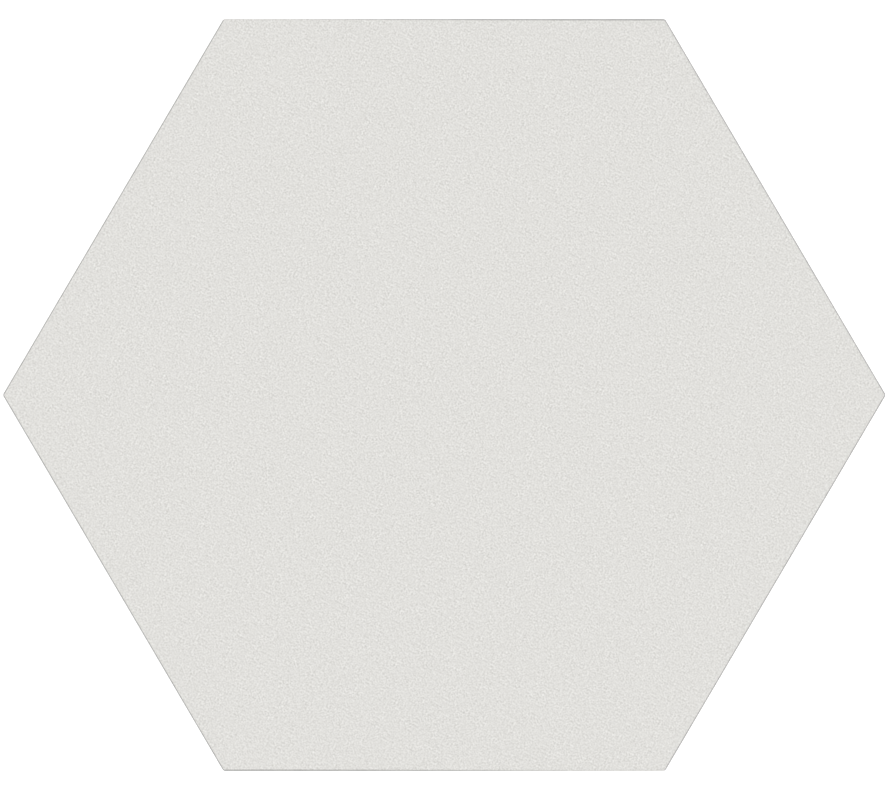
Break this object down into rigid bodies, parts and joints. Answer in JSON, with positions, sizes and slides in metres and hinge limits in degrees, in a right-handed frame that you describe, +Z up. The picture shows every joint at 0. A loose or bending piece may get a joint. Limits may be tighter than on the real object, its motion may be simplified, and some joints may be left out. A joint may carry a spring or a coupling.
{
  "type": "hexagon floor tile",
  "caption": "Flat hexagonal porcelain floor tile with a pale stippled matt face, a slightly eased arris and a keyed honeycomb back.",
  "frame": {"origin": "middle of the tile, in the plane of its bed", "axes": "+Z up out of the walking face, +X from corner to corner, +Y across two flat sides"},
  "size_m": [0.2534, 0.216, 0.009],
  "materials": {
    "fired_porcelain": "matte"
  },
  "bodies": {
    "root": {"floor_tile": "fired_porcelain"}
  },
  "joints": []
}
